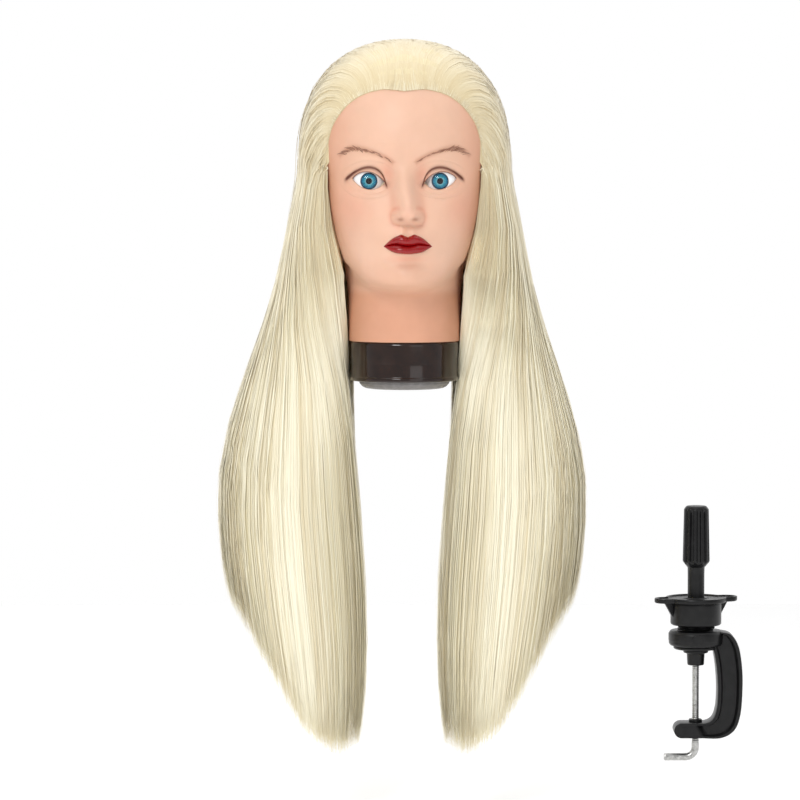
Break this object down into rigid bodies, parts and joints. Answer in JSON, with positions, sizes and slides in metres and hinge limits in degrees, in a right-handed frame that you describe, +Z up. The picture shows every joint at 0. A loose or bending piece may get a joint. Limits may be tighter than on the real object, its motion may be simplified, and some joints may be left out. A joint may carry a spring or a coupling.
{
  "type": "mannequin training head",
  "caption": "Soft vinyl training head with long straight hair parted to both sides, and the swivelling table clamp whose ribbed post fits its neck socket.",
  "frame": {"origin": "middle of the neck socket's mouth, on the plane of the base plate's underside", "axes": "+Z up through the crown, -Y the way the face looks, +X towards the head's own left, where the clamp stands"},
  "size_m": [0.4201, 0.2111, 0.5775],
  "materials": {
    "vinyl": "satin skin-coloured vinyl, red gloss paint on the lips",
    "core": "rigid foam",
    "eye_white": "gloss",
    "iris": "printed blue iris",
    "cornea": "clear dome",
    "collar": "gloss dark brown",
    "grey_plastic": "moulded grey",
    "steel": "zinc-plated",
    "hair": "long straight pale blonde fibre with a soft shine",
    "black_plastic": "moulded black, slightly glossy"
  },
  "bodies": {
    "head": {"vinyl_skin": "vinyl", "rigid_core": "core", "left_eyeball": "eye_white", "left_iris": "iris", "left_cornea": "cornea", "right_eyeball": "eye_white", "right_iris": "iris", "right_cornea": "cornea", "neck_collar": "collar", "base_plate": "grey_plastic", "screw_carrier": "grey_plastic", "socket_tube": "grey_plastic", "base_screw_1": "steel", "base_screw_2": "steel", "base_screw_3": "steel", "crown_hair": "hair", "left_front_hair": "hair", "left_back_hair": "hair", "right_front_hair": "hair", "right_back_hair": "hair"},
    "clamp": {"clamp_frame": "black_plastic", "collet_sleeve": "black_plastic", "jaw_pad": "black_plastic", "collar_plug": "black_plastic", "jaw_nut": "black_plastic", "pad_rivet_1": "steel", "pad_rivet_2": "steel"},
    "wing_nut": {"wing_nut": "black_plastic"},
    "post": {"spigot_post": "black_plastic", "post_clip": "steel"},
    "foot": {"pressure_foot": "black_plastic"},
    "screw": {"clamp_screw": "steel"}
  },
  "joints": [
    {"name": "clamp_lift", "type": "slide", "parent": "head", "child": "clamp", "axis": [0, 0, 1], "range_m": [0, 0.2]},
    {"name": "wing_nut_turn", "type": "hinge", "parent": "clamp", "child": "wing_nut", "pos_m": [0.234, 0, -0.18], "axis": [0, 0, 1], "range_deg": [0, 120]},
    {"name": "post_swivel", "type": "hinge", "parent": "clamp", "child": "post", "pos_m": [0.234, 0, -0.15], "axis": [0, 0, 1], "continuous": true},
    {"name": "screw_travel", "type": "slide", "parent": "clamp", "child": "foot", "axis": [0, 0, -1], "range_m": [0, 0.036]},
    {"name": "screw_turn", "type": "hinge", "parent": "foot", "child": "screw", "pos_m": [0.234, 0, -0.28], "axis": [0, 0, 1], "range_deg": [0, 8650]}
  ],
  "couplings": [
    {"joint": "screw_turn", "follows": "screw_travel", "rad_per_m": 4188.8}
  ]
}
